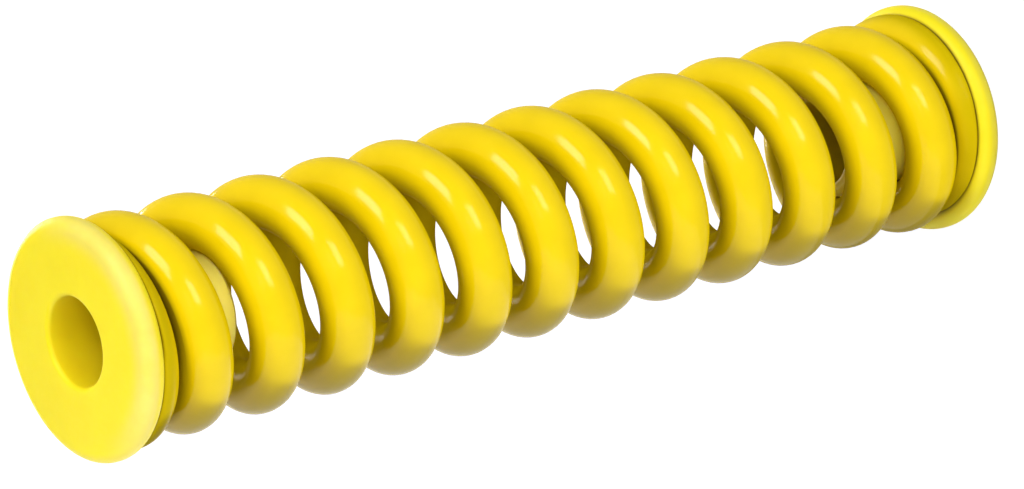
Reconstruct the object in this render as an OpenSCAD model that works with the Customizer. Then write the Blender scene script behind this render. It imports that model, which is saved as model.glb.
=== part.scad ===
// Suspension spring for a sprung bicycle seatpost: a round-wire compression coil, closed and
// ground flat at both ends, with a moulded flanged cap pushed into each end.
// Millimetres. +Z runs along the coil. The origin is the centre of the lower cap's outer face.

/* [Coil spring] */
// Diameter of the wire
wire_d = 5.5; // [3.5:0.1:6.5]
// Outside diameter of the coil
coil_od = 23.4; // [20:0.1:32]
// Free length between the ground ends
spring_l = 106.8; // [90:0.2:150]
// Turns from tip to tip
turns = 13.65; // [8:0.05:15]
// Turns wound closed at each end
closed_turns = 0.92; // [0.5:0.01:1.5]
// Gap left between closed turns
closed_gap = 0.15; // [0.05:0.05:0.6]
// Turns over which the closed pitch opens out to the working pitch
ramp_turns = 0.5; // [0.2:0.05:1]
// Thickness that the grinding leaves at each tip
tip_t = 0.4; // [0.3:0.1:2.5]
// How far the sharp edge of a ground face is broken back
edge_break = 0.4; // [0.1:0.1:0.8]
// Angle of the lower tip about the axis, counted from +X
tip_angle = 168; // [0:1:359]

/* [End caps] */
// How far each flange stands out past the coil
flange_lip = 0.65; // [0.1:0.05:3]
// Thickness of each flange
flange_t = 2.6; // [1.5:0.1:6]
// Radius that rounds both edges of the flange's rim
rim_round = 1.2; // [0.3:0.1:3]
// Length of the spigot inside the coil
spigot_l = 13; // [6:0.1:30]
// Gap between the spigot and the inside of the coil
spigot_gap = 0.2; // [0.1:0.05:0.6]
// Wall of the spigot
spigot_wall = 1.4; // [0.6:0.1:2]
// Bevel that leads the spigot into the coil
lead_in = 0.5; // [0.2:0.1:1]
// Radius that rounds the mouth of the guide rod's bore
mouth_round = 0.5; // [0.1:0.1:1]

/* [Hidden] */
// Sides of the wire's section, and sections in each turn
WIRE_SIDES = 16;
TURN_STEPS = 24;

wire_r = wire_d / 2;
mean_r = coil_od / 2 - wire_r;
closed_pitch = wire_d + closed_gap;
// The wire's centre starts below the ground face: the grinding takes off all but the tip.
ground_depth = wire_r - tip_t;
// Half of each ramp's turns count at the closed pitch and half at the working one.
closed_rise = (2 * closed_turns + ramp_turns) * closed_pitch;
open_turns = turns - 2 * closed_turns - ramp_turns;
work_pitch = (spring_l + 2 * ground_depth - closed_rise) / open_turns;
steps = ceil(turns * TURN_STEPS);

flange_r = coil_od / 2 + flange_lip;
spigot_r = coil_od / 2 - wire_d - spigot_gap;
bore_r = spigot_r - spigot_wall;
cap_l = flange_t + spigot_l;
overall_l = spring_l + 2 * flange_t;
// A rounding or a bevel is never larger than the wall that it is cut from.
rim_r = min(rim_round, flange_t / 2);
bevel = min(lead_in, spigot_wall);
mouth_r = min(mouth_round, flange_t / 2);

$fn = 96;
COIL_COLOUR = [0.98, 0.82, 0.04];
CAP_COLOUR = [0.98, 0.91, 0.22];

// Share of a ramp's full rise that is gained by a share u of its turns. Past its end it runs straight on.
function ramp_rise(u) = u < 0 ? 0 : u > 1 ? u - 0.5 : pow(u, 3) - pow(u, 4) / 2;

// Height of the wire's centre above the lower ground face, t turns from the lower tip.
function centre_z(t) =
    let (up = ramp_rise((t - closed_turns) / ramp_turns))
    let (down = ramp_rise((t - turns + closed_turns + ramp_turns) / ramp_turns))
    t * closed_pitch - ground_depth + (up - down) * ramp_turns * (work_pitch - closed_pitch);

// How much a plane through the axis lengthens the section of the slanting wire.
function stretch(t) =
    let (nudge = 0.01)
    let (pitch = (centre_z(t + nudge) - centre_z(t - nudge)) / (2 * nudge))
    norm([1, pitch / (2 * PI * mean_r)]);

// How far the corner of a flat is pulled in, where the grinding cuts this deep into the wire.
function broken(cut) = min(edge_break, cut / 2);

// Outer half of the section, as [distance from the wire's centre, height], from the lower flat to the upper.
function half_section(t) =
    let (z = centre_z(t), rise_r = wire_r * stretch(t))
    let (full = rise_r * cos(180 / WIRE_SIDES))
    let (below = min(z, full), above = min(spring_l - z, full))
    let (first = acos(below / rise_r), last = 180 - acos(above / rise_r))
    let (n = WIRE_SIDES / 2 - 1)
    [for (k = [0 : n])
        let (a = first + (last - first) * k / n)
        let (pull = k == 0 ? broken(full - below) : k == n ? broken(full - above) : 0)
        [wire_r * sin(a) - pull, z - rise_r * cos(a)]];

// One section of the wire as points in space: up its outer half, then down its inner half.
function section(t) =
    let (half = half_section(t), n = len(half), around = tip_angle + 360 * t)
    let (outline = [for (p = half) p, for (k = [n - 1 : -1 : 0]) [-half[k][0], half[k][1]]])
    [for (p = outline) [(mean_r + p[0]) * cos(around), (mean_r + p[0]) * sin(around), p[1]]];

module coil_spring() {
    points = [for (i = [0 : steps]) each section(turns * i / steps)];
    skin = [for (i = [0 : steps - 1], k = [0 : WIRE_SIDES - 1])
        let (a = i * WIRE_SIDES + k, b = i * WIRE_SIDES + (k + 1) % WIRE_SIDES)
        each [[a, a + WIRE_SIDES, b], [b, a + WIRE_SIDES, b + WIRE_SIDES]]];
    lower_tip = [for (k = [0 : WIRE_SIDES - 1]) k];
    upper_tip = [for (k = [WIRE_SIDES - 1 : -1 : 0]) steps * WIRE_SIDES + k];
    color(COIL_COLOUR)
        translate([0, 0, flange_t])
            polyhedron(points, concat(skin, [lower_tip, upper_tip]));
}

// Half section of a cap's outside: a flange with a rounded rim, then a bevelled spigot.
module cap_outside() {
    square([flange_r - rim_r, flange_t]);
    translate([0, rim_r])
        square([flange_r, flange_t - 2 * rim_r]);
    for (z = [rim_r, flange_t - rim_r])
        translate([flange_r - rim_r, z])
            circle(rim_r);
    polygon([
        [0, 0],
        [spigot_r, 0],
        [spigot_r, cap_l - bevel],
        [spigot_r - bevel, cap_l],
        [0, cap_l]
    ]);
}

// Half section of the bore, which opens out round its mouth.
module cap_bore() {
    square([2 * bore_r, 3 * cap_l], center = true);
    difference() {
        square([bore_r + mouth_r, mouth_r]);
        translate([bore_r + mouth_r, mouth_r])
            circle(mouth_r);
    }
}

module end_cap() {
    color(CAP_COLOUR)
        rotate_extrude()
            difference() {
                cap_outside();
                cap_bore();
            }
}

module lower_end_cap() {
    end_cap();
}

module upper_end_cap() {
    translate([0, 0, overall_l])
        mirror([0, 0, 1])
            end_cap();
}

coil_spring();
lower_end_cap();
upper_end_cap();
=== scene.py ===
"""Looks of the seatpost suspension spring: an enamelled coil, two moulded caps and a plain white studio."""
import math

import bpy
import numpy as np
from mathutils import Matrix, Vector


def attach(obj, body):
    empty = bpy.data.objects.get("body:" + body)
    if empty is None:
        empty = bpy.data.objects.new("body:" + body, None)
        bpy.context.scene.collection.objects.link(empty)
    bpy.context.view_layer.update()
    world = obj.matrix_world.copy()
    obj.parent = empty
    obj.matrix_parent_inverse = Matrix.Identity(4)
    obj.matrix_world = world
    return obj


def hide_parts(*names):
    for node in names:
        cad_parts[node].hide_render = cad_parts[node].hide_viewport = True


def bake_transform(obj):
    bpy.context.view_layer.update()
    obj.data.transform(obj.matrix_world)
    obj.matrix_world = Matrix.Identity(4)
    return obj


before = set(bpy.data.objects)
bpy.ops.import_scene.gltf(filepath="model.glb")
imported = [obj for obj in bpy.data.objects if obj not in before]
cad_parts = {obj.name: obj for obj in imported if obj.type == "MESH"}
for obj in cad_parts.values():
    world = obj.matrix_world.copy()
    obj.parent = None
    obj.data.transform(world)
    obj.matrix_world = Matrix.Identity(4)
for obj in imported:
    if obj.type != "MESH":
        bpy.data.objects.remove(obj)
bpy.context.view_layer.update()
scene = bpy.context.scene

# Sizes of the part in metres, as in its source. The flange is a hair narrower, to stay inside its facets.
WIRE_R = 0.00275
COIL_R = 0.0117
SPRING_L = 0.1068
TURNS = 13.65
CLOSED_TURNS = 0.92
CLOSED_GAP = 0.00015
RAMP_TURNS = 0.5
TIP_T = 0.0004
EDGE_BREAK = 0.0004
TIP_ANGLE = math.radians(168)
FLANGE_R = 0.012344
FLANGE_T = 0.0026
RIM_R = 0.0012
SPIGOT_R = 0.006
BORE_R = 0.0046
CAP_L = 0.0156
LEAD_IN = 0.0005
MOUTH_R = 0.0005
OVERALL_L = SPRING_L + 2 * FLANGE_T

MEAN_R = COIL_R - WIRE_R
CLOSED_PITCH = 2 * WIRE_R + CLOSED_GAP
GROUND_DEPTH = WIRE_R - TIP_T
OPEN_TURNS = TURNS - 2 * CLOSED_TURNS - RAMP_TURNS
CLOSED_RISE = (2 * CLOSED_TURNS + RAMP_TURNS) * CLOSED_PITCH
WORK_PITCH = (SPRING_L + 2 * GROUND_DEPTH - CLOSED_RISE) / OPEN_TURNS

# Small roundings that only the scene has: a cap's spigot at its root, and its bore at the inner end.
ROOT_R = 0.0002
BORE_END_R = 0.0003
# The bevel at each tip of the wire: its length, and the size of the end beside the whole section.
TIP_BEVEL = 0.00015
TIP_SHRINK = 0.86

# Points around the wire, and sections in each turn of the coil.
WIRE_SIDES = 52
TURN_STEPS = 84
# Points of the fine outline that a section is drawn from, and of each rounded corner in it.
ARC_POINTS = 97
CORNER_POINTS = 7
# The smallest broken edge that is drawn.
LEAST_BREAK = 1e-6
# Steps around a cap.
CAP_STEPS = 144
# How far the loop that holds a flat flat stands from the rounding beside it.
HOLD = 0.00006

# Painted shade on the enamel, from nought to one, and the stretch over which each kind of it comes or goes.
# Degrees are counted from the outermost point of the wire, and lengths are in metres.
FACING_PAINTED_SHADE, FACING_SHADE_DEGREES = 0.6, (66, 106)
GROUND_PAINTED_SHADE, GROUND_SHADE_HEIGHTS = 0.50, (0.0008, 0.0026)
CLOSE_TURN_SHADE, CLOSE_SHADE_DEGREES, CLOSE_SHADE_GAPS = 0.95, (60, 78), (0.0003, 0.0022)
SEAM_PAINTED_SHADE, SEAM_SHADE_HEIGHTS = 0.85, (0.00005, 0.0002)

# The same painted shade for the caps. The shaded seam is wider near the tip of the wire.
CAP_SEAM_PAINTED_SHADE, CAP_SEAM_START = 0.9, -0.0002
CAP_SEAM_WIDTH, CAP_SEAM_WIDER, WIDER_TURNS = 0.00015, 0.0005, (0.02, 0.16)
BORE_PAINTED_SHADE, BORE_HEIGHTS = 0.6, (-0.0008, 0.009)
# Painted sheen on one side of a cap's outer edge, weaker on the lower cap, and painted light on the
# spigot's end.
SHEEN_ANGLE = math.radians(275)
SHEEN_SIDE, SHEEN_RADII, SHEEN_HEIGHTS = (-0.2, 0.7), (0.0092, 0.0119), (0.0012, 0.0018)
LOWER_SHEEN = 0.3
LIT_SPIGOT_HEIGHTS = (FLANGE_T + 0.002, FLANGE_T + 0.006)


def ramp_rise(u):
    """Share of a ramp's full rise gained by a share u of its turns."""
    return np.where(u < 0, 0, np.where(u > 1, u - 0.5, u ** 3 - u ** 4 / 2))


def opened(t):
    """Turns of opened pitch that lie before t turns from the lower tip."""
    up = ramp_rise((t - CLOSED_TURNS) / RAMP_TURNS)
    down = ramp_rise((t - TURNS + CLOSED_TURNS + RAMP_TURNS) / RAMP_TURNS)
    return (up - down) * RAMP_TURNS


def centre_z(t):
    """Height of the wire's centre above the lower ground face."""
    return t * CLOSED_PITCH - GROUND_DEPTH + opened(t) * (WORK_PITCH - CLOSED_PITCH)


def rounded_corner(corner, before, after, size):
    """Points that round a corner off between two neighbours, no further from it than size."""
    def step(to):
        length = np.linalg.norm(to - corner)
        return corner + (to - corner) * min(1.0, size / max(length, 1e-9))
    a, b = step(before), step(after)
    s = np.linspace(0, 1, CORNER_POINTS)[:, None]
    return (1 - s) ** 2 * a + 2 * s * (1 - s) * corner + s ** 2 * b


def half_outline(z, rise_r):
    """Outer half of one section, from the middle of its lowest side to the middle of its highest."""
    below = min(z, rise_r)
    above = min(SPRING_L - z, rise_r)
    first = math.acos(below / rise_r)
    last = math.pi - math.acos(above / rise_r)
    a = np.linspace(first, last, ARC_POINTS)
    body = np.stack([WIRE_R * np.sin(a), z - rise_r * np.cos(a)], 1)
    low, high = body[0], body[-1]
    low_break = min(EDGE_BREAK, (rise_r - below) / 2)
    high_break = min(EDGE_BREAK, (rise_r - above) / 2)
    start, end = [], []
    if low_break > LEAST_BREAK:
        body = body[np.linalg.norm(body - low, axis=1) > low_break]
        middle = np.array([0, low[1]])
        start = [middle[None], rounded_corner(low, middle, body[0], low_break)]
    if high_break > LEAST_BREAK:
        body = body[np.linalg.norm(body - high, axis=1) > high_break]
        middle = np.array([0, high[1]])
        end = [rounded_corner(high, body[-1], middle, high_break), middle[None]]
    return np.concatenate(start + [body] + end)


def even_points(line, count):
    """Points spaced evenly along a line."""
    run = np.concatenate([[0], np.cumsum(np.linalg.norm(np.diff(line, axis=0), axis=1))])
    at = np.linspace(0, run[-1], count)
    return np.stack([np.interp(at, run, line[:, 0]), np.interp(at, run, line[:, 1])], 1)


def eased(value, start, end):
    """Nought before start, one after end and a smooth step between them."""
    u = np.clip((value - start) / (end - start), 0, 1)
    return u * u * (3 - 2 * u)


def closeness(t):
    """One where the turn at t lies against the next one, and nought where it is clear of it."""
    if t < 0 or t + 1 > TURNS:
        return 0.0
    return float(1 - eased(centre_z(t + 1) - centre_z(t) - 2 * WIRE_R, *CLOSE_SHADE_GAPS))


def coil_shade(outline, t):
    """How much shade is painted on the enamel at each point of a section, t turns from the lower tip."""
    rise = outline[:, 1] - centre_z(t)
    away = np.degrees(np.arctan2(np.abs(rise), outline[:, 0]))
    # Painted shade darkens the sides that face the next turn and the inside of the coil, where the turns
    # shade each other.
    facing_shade = FACING_PAINTED_SHADE * eased(away, *FACING_SHADE_DEGREES)
    # Painted shade also darkens the wire close to a ground end, where its cap shades it.
    clear = np.minimum(outline[:, 1], SPRING_L - outline[:, 1])
    ground_shade = GROUND_PAINTED_SHADE * (1 - eased(clear, *GROUND_SHADE_HEIGHTS))
    # Painted shade darkens the crevice where two turns lie close, and the seam where a ground end meets its
    # cap.
    close = np.where(rise > 0, closeness(t), closeness(t - 1))
    close_shade = CLOSE_TURN_SHADE * close * eased(away, *CLOSE_SHADE_DEGREES)
    # Painted contact shadow in the seam where the wire meets its cap.
    seam_shade = SEAM_PAINTED_SHADE * (1 - eased(clear, *SEAM_SHADE_HEIGHTS))
    return np.max([facing_shade, ground_shade, close_shade, seam_shade], axis=0)


def coil_section(t, shrink):
    """One closed section of the wire, t turns from the lower tip: its points in space and their painted
    shade.
    """
    nudge = 0.01
    pitch = (centre_z(t + nudge) - centre_z(t - nudge)) / (2 * nudge)
    rise_r = WIRE_R * math.hypot(1, pitch / (2 * math.pi * MEAN_R))
    half = even_points(half_outline(float(centre_z(t)), rise_r), WIRE_SIDES // 2 + 1)
    inner = half[-2:0:-1] * [-1, 1]
    outline = np.concatenate([half, inner])
    if shrink < 1:
        middle = outline.mean(0)
        outline = middle + (outline - middle) * shrink
    around = TIP_ANGLE + 2 * math.pi * t
    radius = MEAN_R + outline[:, 0]
    points = [radius * math.cos(around), radius * math.sin(around), outline[:, 1] + FLANGE_T]
    return np.stack(points, 1), coil_shade(outline, t)


def make_mesh(name, points, faces, sharp_degrees):
    """A smooth piece whose edges are sharp where its faces turn by more than this."""
    mesh = bpy.data.meshes.new(name)
    mesh.from_pydata([tuple(p) for p in points], [], faces)
    mesh.validate()
    mesh.shade_smooth()
    mesh.set_sharp_from_angle(angle=math.radians(sharp_degrees))
    piece = bpy.data.objects.new(name, mesh)
    scene.collection.objects.link(piece)
    return piece


def set_value(piece, name, values):
    """Keeps a number from nought to one for each point of a piece."""
    kept = piece.data.attributes.new(name, "FLOAT", "POINT")
    kept.data.foreach_set("value", np.asarray(values, dtype=np.float32))


def make_coil():
    """The whole wire, one ring of points for each section."""
    steps = math.ceil(TURNS * TURN_STEPS)
    bevel = TIP_BEVEL / (2 * math.pi * MEAN_R)
    at = [0.0, bevel] + [TURNS * i / steps for i in range(1, steps)] + [TURNS - bevel, TURNS]
    rings = [coil_section(t, TIP_SHRINK if t in (0.0, TURNS) else 1.0) for t in at]
    n = WIRE_SIDES
    faces = []
    for i in range(len(rings) - 1):
        for k in range(n):
            a, b = i * n + k, i * n + (k + 1) % n
            faces.append((a, a + n, b + n, b))
    faces.append(tuple(range(n)))
    faces.append(tuple(range(len(rings) * n - 1, (len(rings) - 1) * n - 1, -1)))
    piece = make_mesh("coil", np.concatenate([r[0] for r in rings]), faces, sharp_degrees=50)
    set_value(piece, "shade", np.concatenate([r[1] for r in rings]))
    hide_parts("coil_spring")
    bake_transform(piece)
    return piece


def arc(centre, radius, start, end, count):
    """Points of an arc in a half section, angles in degrees."""
    x, z = centre
    angles = [math.radians(a) for a in np.linspace(start, end, count)]
    return [(x + radius * math.cos(a), z + radius * math.sin(a)) for a in angles]


def cap_profile():
    """Closed half section of a cap, as distance from the axis and height above its outer face."""
    face_in, face_out = BORE_R + MOUTH_R, FLANGE_R - RIM_R
    root, bore_end = SPIGOT_R + ROOT_R, BORE_R + BORE_END_R
    line = [(BORE_R, z) for z in np.linspace(CAP_L - BORE_END_R, MOUTH_R + HOLD, 14)]
    line += arc((face_in, MOUTH_R), MOUTH_R, 180, 270, count=9)
    line += [(r, 0) for r in np.linspace(face_in + HOLD, face_out - HOLD, 14)]
    line += arc((face_out, RIM_R), RIM_R, 270, 360, count=15)
    line += arc((face_out, FLANGE_T - RIM_R), RIM_R, 0, 90, count=15)
    line += [(r, FLANGE_T) for r in np.linspace(face_out - HOLD, root + HOLD, 20)]
    line += arc((root, FLANGE_T + ROOT_R), ROOT_R, 270, 180, count=5)
    line += [(SPIGOT_R, CAP_L - LEAD_IN - HOLD), (SPIGOT_R, CAP_L - LEAD_IN)]
    line += [(SPIGOT_R - LEAD_IN, CAP_L), (bore_end, CAP_L)]
    line += arc((bore_end, CAP_L - BORE_END_R), BORE_END_R, 90, 180, count=6)[1:-1]
    return line


def cap_shade(r, z, turn, top):
    """Painted shadow along the edge of the ground end, as far as the coil lies on a cap, and painted shade
    in its bore.
    """
    tip = TIP_ANGLE + 2 * math.pi * TURNS if top else TIP_ANGLE
    t = np.mod(tip - turn if top else turn - tip, 2 * math.pi) / (2 * math.pi)
    height = np.clip((t * CLOSED_PITCH - GROUND_DEPTH) / WIRE_R, -1, 1)
    edge = MEAN_R + WIRE_R * np.sqrt(1 - height ** 2)
    inner_face = (z > FLANGE_T - RIM_R) & (z < FLANGE_T + 2 * ROOT_R) & (r > SPIGOT_R)
    width = CAP_SEAM_WIDTH + CAP_SEAM_WIDER * (1 - eased(t, *WIDER_TURNS))
    seam_shade = np.where(inner_face, CAP_SEAM_PAINTED_SHADE * (1 - eased(r - edge, CAP_SEAM_START, width)), 0)
    # Painted shade, darker deeper in the bore.
    bore = np.where(r < BORE_R + MOUTH_R, BORE_PAINTED_SHADE * eased(z, *BORE_HEIGHTS), 0)
    return np.maximum(seam_shade, bore)


def cap_painted_light(r, z, turn, top):
    """How strong the painted sheen is on one side of a cap's outer edge, and the painted light on its
    spigot's end.
    """
    side = eased(np.cos(turn - SHEEN_ANGLE), *SHEEN_SIDE)
    rim = side * eased(r, *SHEEN_RADII) * (1 - eased(z, *SHEEN_HEIGHTS))
    spigot = np.where(r > BORE_R + MOUTH_R, eased(z, *LIT_SPIGOT_HEIGHTS), 0)
    return np.maximum(rim if top else LOWER_SHEEN * rim, spigot)


def make_cap(name, node, body, top):
    """One moulded cap. The top one is turned over, with its outer face up."""
    line = cap_profile()
    n = len(line)
    points, faces = [], []
    for i in range(CAP_STEPS):
        a = 2 * math.pi * i / CAP_STEPS
        for r, z in line:
            points.append((r * math.cos(a), r * math.sin(a), OVERALL_L - z if top else z))
    for i in range(CAP_STEPS):
        j = (i + 1) % CAP_STEPS
        for k in range(n):
            m = (k + 1) % n
            quad = (i * n + k, i * n + m, j * n + m, j * n + k)
            faces.append(quad if top else quad[::-1])
    piece = make_mesh(name, points, faces, sharp_degrees=35)
    r, z = np.array(line).T
    turn = np.linspace(0, 2 * math.pi, CAP_STEPS, endpoint=False)[:, None]
    set_value(piece, "shade", cap_shade(r, z, turn, top).ravel())
    set_value(piece, "painted_light", cap_painted_light(r, z, turn, top).ravel())
    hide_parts(node)
    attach(piece, body)
    return piece


def new_material(name):
    """A material with one plain shader, and that shader."""
    material = bpy.data.materials.new(name)
    material.use_nodes = True
    tree = material.node_tree
    tree.nodes.clear()
    shader = tree.nodes.new("ShaderNodeBsdfPrincipled")
    output = tree.nodes.new("ShaderNodeOutputMaterial")
    tree.links.new(shader.outputs["BSDF"], output.inputs["Surface"])
    return material, shader


def add_noise(tree, scale, detail):
    """Noise in the part's own coordinates, in features to the metre."""
    place = tree.nodes.new("ShaderNodeTexCoord")
    noise = tree.nodes.new("ShaderNodeTexNoise")
    noise.inputs["Scale"].default_value = scale
    noise.inputs["Detail"].default_value = detail
    tree.links.new(place.outputs["Object"], noise.inputs["Vector"])
    return noise.outputs["Fac"]


def grey(level):
    """A grey as a colour."""
    return (level, level, level)


def add_ramp(tree, value, stops):
    """Colours or greys across a value, as a list of place and colour."""
    ramp = tree.nodes.new("ShaderNodeValToRGB")
    elements = ramp.color_ramp.elements
    for element, (at, colour) in zip(elements, (stops[0], stops[-1])):
        element.position = at
        element.color = (*colour, 1)
    for at, colour in stops[1:-1]:
        elements.new(at).color = (*colour, 1)
    tree.links.new(value, ramp.inputs["Fac"])
    return ramp.outputs["Color"]


def add_value(tree, name):
    """The number that a piece keeps for each point."""
    value = tree.nodes.new("ShaderNodeAttribute")
    value.attribute_name = name
    return value.outputs["Fac"]


def add_mix(tree, kind, a, b, factor=None):
    """Two colours multiplied, or mixed by a factor."""
    mix = tree.nodes.new("ShaderNodeMix")
    mix.data_type = "RGBA"
    mix.blend_type = kind
    mix.inputs["Factor"].default_value = 1.0
    if factor is not None:
        tree.links.new(factor, mix.inputs["Factor"])
    tree.links.new(a, mix.inputs["A"])
    tree.links.new(b, mix.inputs["B"])
    return mix.outputs["Result"]


def add_bump(tree, height, distance, strength):
    """A surface raised by a value, this far at most."""
    bump = tree.nodes.new("ShaderNodeBump")
    bump.inputs["Strength"].default_value = strength
    bump.inputs["Distance"].default_value = distance
    tree.links.new(height, bump.inputs["Height"])
    return bump.outputs["Normal"]


def enamel():
    """Thick glossy enamel with a faint orange peel."""
    material, shader = new_material("coil_enamel_look")
    tree = material.node_tree
    tint = add_ramp(tree, add_noise(tree, scale=260, detail=3), [
        (0.30, (0.84, 0.605, 0.0015)),
        (0.70, (0.89, 0.645, 0.0025)),
    ])
    # The shade value darkens the colour: painted shade between turns, in seams and near the ground ends.
    shade = add_value(tree, "shade")
    painted_darkening = add_ramp(tree, shade, [
        (0.0, (1, 1, 1)),
        (0.6, (0.64, 0.66, 1)),
        (0.8, (0.32, 0.30, 1)),
        (1.0, (0.10, 0.08, 1)),
    ])
    gloss = add_ramp(tree, add_noise(tree, scale=900, detail=4), [(0.3, grey(0.32)), (0.7, grey(0.44))])
    coat = add_ramp(tree, shade, [(0.0, grey(0.22)), (0.5, grey(0.02))])
    peel = add_bump(tree, add_noise(tree, scale=700, detail=2), distance=0.00004, strength=0.25)
    tree.links.new(add_mix(tree, "MULTIPLY", tint, painted_darkening), shader.inputs["Base Color"])
    tree.links.new(gloss, shader.inputs["Roughness"])
    tree.links.new(coat, shader.inputs["Coat Weight"])
    tree.links.new(peel, shader.inputs["Coat Normal"])
    tree.links.new(peel, shader.inputs["Normal"])
    # The clear coat alone carries the gloss.
    shader.inputs["Specular IOR Level"].default_value = 0.0
    shader.inputs["Coat Roughness"].default_value = 0.13
    return material


def moulding():
    """Satin plastic, a little see-through at its edges, with the grain of its mould."""
    material, shader = new_material("cap_plastic_look")
    tree = material.node_tree
    fresh = add_ramp(tree, add_noise(tree, scale=180, detail=3), [
        (0.30, (0.92, 0.735, 0.005)),
        (0.70, (0.96, 0.775, 0.009)),
    ])
    sheen_colour = add_ramp(tree, add_noise(tree, scale=300, detail=3), [
        (0.35, (0.84, 0.695, 0.110)),
        (0.65, (0.88, 0.735, 0.145)),
    ])
    # Painted shade along the coil's end and deeper in the bore.
    painted_darkening = add_ramp(tree, add_value(tree, "shade"), [
        (0.0, (1, 1, 1)),
        (0.6, (0.62, 0.58, 0.3)),
        (1.0, (0.10, 0.08, 0.2)),
    ])
    satin = add_ramp(tree, add_noise(tree, scale=1400, detail=4), [(0.3, grey(0.48)), (0.7, grey(0.58))])
    grain = add_bump(tree, add_noise(tree, scale=5200, detail=3), distance=0.00002, strength=0.15)
    # The pale colour is painted sheen on the rim and painted light on the spigot.
    tint = add_mix(tree, "MIX", fresh, sheen_colour, add_value(tree, "painted_light"))
    tree.links.new(add_mix(tree, "MULTIPLY", tint, painted_darkening), shader.inputs["Base Color"])
    tree.links.new(satin, shader.inputs["Roughness"])
    tree.links.new(grain, shader.inputs["Normal"])
    shader.inputs["Specular IOR Level"].default_value = 0.2
    shader.inputs["Subsurface Weight"].default_value = 0.5
    shader.inputs["Subsurface Scale"].default_value = 0.0025
    shader.inputs["Subsurface Radius"].default_value = (1.0, 0.75, 0.12)
    return material


def dress(piece, material):
    """Gives a piece one material all over."""
    piece.data.materials.clear()
    piece.data.materials.append(material)


coil = make_coil()
dress(coil, enamel())
plastic = moulding()
lower_cap = make_cap("lower_cap", "lower_end_cap", "lower", False)
upper_cap = make_cap("upper_cap", "upper_end_cap", "upper", True)
dress(lower_cap, plastic)
dress(upper_cap, plastic)

# The camera looks down on the upper cap from the front, rolled so that the spring lies across the picture.
PICTURE_W, PICTURE_H = 1024, 489
VIEW = math.radians(54.011)
ROLL = math.radians(-105.104)
DISTANCE = 0.610
LENS = 208.23
SENSOR = 36
NEAREST = 0.01
# How far the camera stands to the left of the spring's middle and below it, as the picture shows it.
LEFT_BY, BELOW_BY = 0.001051, 0.002237
AIM = Vector((0, 0, OVERALL_L / 2))
back = Vector((0, -math.sin(VIEW), math.cos(VIEW)))
level_side = Vector((1, 0, 0))
level_up = Vector((0, math.cos(VIEW), math.sin(VIEW)))
right = math.cos(ROLL) * level_side + math.sin(ROLL) * level_up
up = -math.sin(ROLL) * level_side + math.cos(ROLL) * level_up
camera = bpy.data.objects.new("camera", bpy.data.cameras.new("camera"))
scene.collection.objects.link(camera)
camera.data.lens = LENS
camera.data.sensor_width = SENSOR
camera.data.clip_start = NEAREST
camera.location = AIM + back * DISTANCE - right * LEFT_BY - up * BELOW_BY
camera.rotation_euler = Matrix((right, up, back)).transposed().to_euler()
scene.camera = camera


def in_picture(x, y, z):
    """A direction given by the picture's right, up and towards the camera."""
    return right * x + up * y + back * z


def pixel_ray(x, y):
    """The direction in which the camera sees a pixel of the picture."""
    across = (x - PICTURE_W / 2) / PICTURE_W * SENSOR / LENS
    above_middle = (PICTURE_H / 2 - y) / PICTURE_W * SENSOR / LENS
    return in_picture(across, above_middle, -1).normalized()


def soft_box(name, toward, distance, width, height, radiance, lights, aim=AIM):
    """A rectangular lamp on one side of the spring, whose face is this bright.

    It lights the colour or shows in the gloss, so that the two are set apart from each other.
    """
    lamp = bpy.data.lights.new(name, "AREA")
    lamp.shape = "RECTANGLE"
    lamp.size = width
    lamp.size_y = height
    lamp.energy = math.pi * width * height * radiance
    box = bpy.data.objects.new(name, lamp)
    scene.collection.objects.link(box)
    direction = Vector(toward).normalized()
    box.location = aim + direction * distance
    box.rotation_euler = (-direction).to_track_quat("-Z", "Y").to_euler()
    box.visible_camera = False
    box.visible_diffuse = lights == "colour"
    box.visible_glossy = lights == "gloss"
    return box


FILL_DISTANCE, FILL_SIZE = 0.6, 0.4
GLEAM_DISTANCE = 0.5


def fill(name, toward, radiance):
    """A large soft lamp that lights the colours and shows in no gloss."""
    soft_box(name, toward, FILL_DISTANCE, FILL_SIZE, FILL_SIZE, radiance, "colour")


def gleam(name, toward, size, radiance, bright):
    """A soft box for the colours, and in front of it one for the gloss that looks the same size."""
    soft_box(name + "_box", toward, 2 * GLEAM_DISTANCE, 2 * size, 2 * size, radiance, "colour")
    soft_box(name + "_gleam", toward, GLEAM_DISTANCE, size, size, bright, "gloss")


BEHIND = Vector((0.35, 1.0, 0.0))
UNDER = in_picture(0, -0.94, -0.34)

gleam("left", in_picture(-0.53, 0.42, 0.73), size=0.24, radiance=5.5, bright=15)
gleam("right", in_picture(0.41, 0.33, 0.85), size=0.20, radiance=3.6, bright=12)
fill("side_fill", in_picture(-0.88, -0.10, 0.40), radiance=1.85)
fill("low_fill", in_picture(0.5, -0.6, 0.6), radiance=1.25)
soft_box("front_fill", in_picture(0.0, 0.02, 1.0),
         distance=1.2, width=0.4, height=0.4, radiance=8.2, lights="colour")
fill("back_fill", BEHIND, radiance=7.0)
soft_box("back_gleam", BEHIND, distance=0.5, width=0.2, height=0.1, radiance=24, lights="gloss")
fill("top_fill", in_picture(-0.49, 0.87, 0.09), radiance=1.4)
# Two pale faces close under the spring, as the picture shows it, stand for a white table.
soft_box("under_box", UNDER, distance=0.04, width=0.2, height=0.2, radiance=2.2, lights="gloss")
soft_box("under_fill", UNDER, distance=0.04, width=0.2, height=0.2, radiance=0.29, lights="colour")

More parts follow.
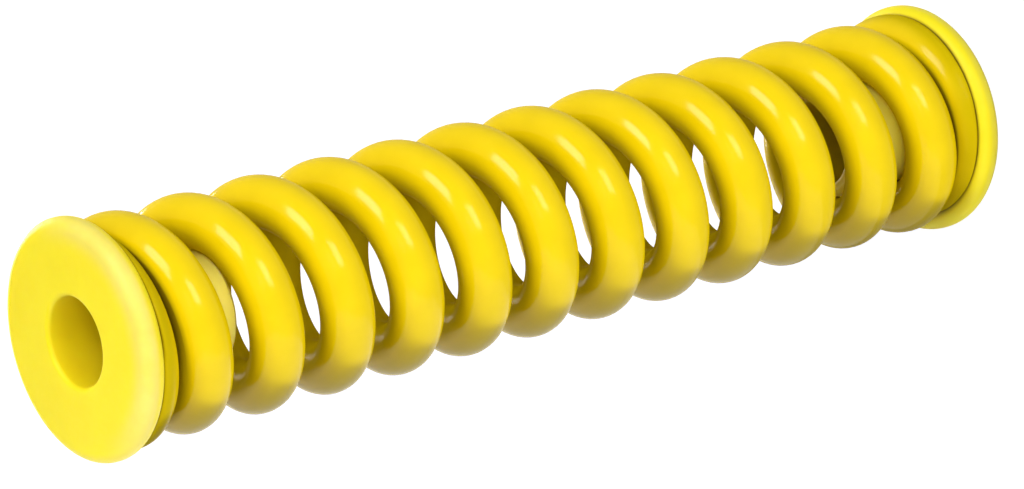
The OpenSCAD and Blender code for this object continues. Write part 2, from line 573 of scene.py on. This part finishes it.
# A narrow spot shines between the first turns on the spigot of the upper cap. It lights that cap alone.
SPOT_PIXEL = (220, 295)
SPOT_AHEAD = 0.15
spot = bpy.data.lights.new("spigot_spot", "SPOT")
spot.energy = 8.0
spot.spot_size = math.radians(0.7)
spot.spot_blend = 1.0
spot.shadow_soft_size = 0.004
snoot = bpy.data.objects.new("spigot_spot", spot)
scene.collection.objects.link(snoot)
ray = pixel_ray(*SPOT_PIXEL)
snoot.location = camera.location + ray * SPOT_AHEAD
snoot.rotation_euler = ray.to_track_quat("-Z", "Y").to_euler()
snoot.visible_glossy = False
lit_cap = bpy.data.collections.new("lit_cap")
lit_cap.objects.link(upper_cap)
snoot.light_linking.receiver_collection = lit_cap

# White cards stand close in front of the spring. The coil's card stops short of its underside.
CARD_TILT = math.radians(52.5)
CARD_DEPTH, CARD_GLOW = 0.12, 0.50
COIL_CARD_R, COIL_CARD_START = COIL_R + 0.0006, 0.002
CAP_CARD_R, CAP_CARD_START = FLANGE_R + 0.0008, -0.012
UPPER_CARD_PAST = 0.045
AXIS = Vector((0, 0, 1))
above = AXIS.cross(right).normalized()
ahead = above.cross(AXIS)
facing = math.sin(CARD_TILT) * ahead - math.cos(CARD_TILT) * above
along = math.cos(CARD_TILT) * ahead + math.sin(CARD_TILT) * above


def white_card(name, low, high, distance, start):
    """A card beside the spring from one height to another, at this distance from its axis.

    Its lower edge lies at start, counted up the card from the place that is nearest to the axis.
    """
    aim = AXIS * (low + high) / 2
    card = soft_box(name, facing, distance, high - low, CARD_DEPTH, CARD_GLOW, "colour", aim)
    card.location += along * (start + CARD_DEPTH / 2)
    card.rotation_euler = Matrix((AXIS, -along, facing)).transposed().to_euler()


COIL_TOP = OVERALL_L - FLANGE_T
white_card("coil_card", FLANGE_T, COIL_TOP, COIL_CARD_R, COIL_CARD_START)
white_card("upper_card", COIL_TOP, OVERALL_L + UPPER_CARD_PAST, CAP_CARD_R, CAP_CARD_START)
white_card("lower_card", 0, FLANGE_T, CAP_CARD_R, CAP_CARD_START)


def seen_light(tree):
    """One where a ray comes from the camera, a gloss or a clear body, and nought elsewhere."""
    path = tree.nodes.new("ShaderNodeLightPath")
    seen = path.outputs["Is Camera Ray"]
    for kind in ("Is Glossy Ray", "Is Transmission Ray"):
        either = tree.nodes.new("ShaderNodeMath")
        either.operation = "MAXIMUM"
        tree.links.new(seen, either.inputs[0])
        tree.links.new(path.outputs[kind], either.inputs[1])
        seen = either.outputs[0]
    return seen


def white_floor():
    """Paper that takes a shadow and looks white."""
    material = bpy.data.materials.new("white_floor")
    material.use_nodes = True
    tree = material.node_tree
    tree.nodes.clear()
    paper = tree.nodes.new("ShaderNodeBsdfDiffuse")
    paper.inputs["Color"].default_value = (*grey(0.25), 1)
    glow = tree.nodes.new("ShaderNodeEmission")
    glow.inputs["Color"].default_value = (*grey(0.9), 1)
    tree.links.new(seen_light(tree), glow.inputs["Strength"])
    both = tree.nodes.new("ShaderNodeAddShader")
    tree.links.new(paper.outputs[0], both.inputs[0])
    tree.links.new(glow.outputs[0], both.inputs[1])
    output = tree.nodes.new("ShaderNodeOutputMaterial")
    tree.links.new(both.outputs[0], output.inputs["Surface"])
    return material


# The floor lies just under the lower cap.
FLOOR_HALF, FLOOR_Z = 3.0, -2e-5
corners = [(x * FLOOR_HALF, y * FLOOR_HALF, FLOOR_Z) for x, y in ((-1, -1), (1, -1), (1, 1), (-1, 1))]
floor_mesh = bpy.data.meshes.new("floor")
floor_mesh.from_pydata(corners, [], [(0, 1, 2, 3)])
floor = bpy.data.objects.new("floor", floor_mesh)
scene.collection.objects.link(floor)
dress(floor, white_floor())

# The world is white where it is seen, and lights the spring only faintly.
SKY_LIGHT = 0.08
world = bpy.data.worlds.new("studio")
scene.world = world
world.use_nodes = True
sky = world.node_tree.nodes["Background"]
sky.inputs["Color"].default_value = (1, 1, 1, 1)
sky_level = world.node_tree.nodes.new("ShaderNodeMath")
sky_level.operation = "MAXIMUM"
sky_level.inputs[1].default_value = SKY_LIGHT
world.node_tree.links.new(seen_light(world.node_tree), sky_level.inputs[0])
world.node_tree.links.new(sky_level.outputs[0], sky.inputs["Strength"])

scene.view_settings.view_transform = "Standard"
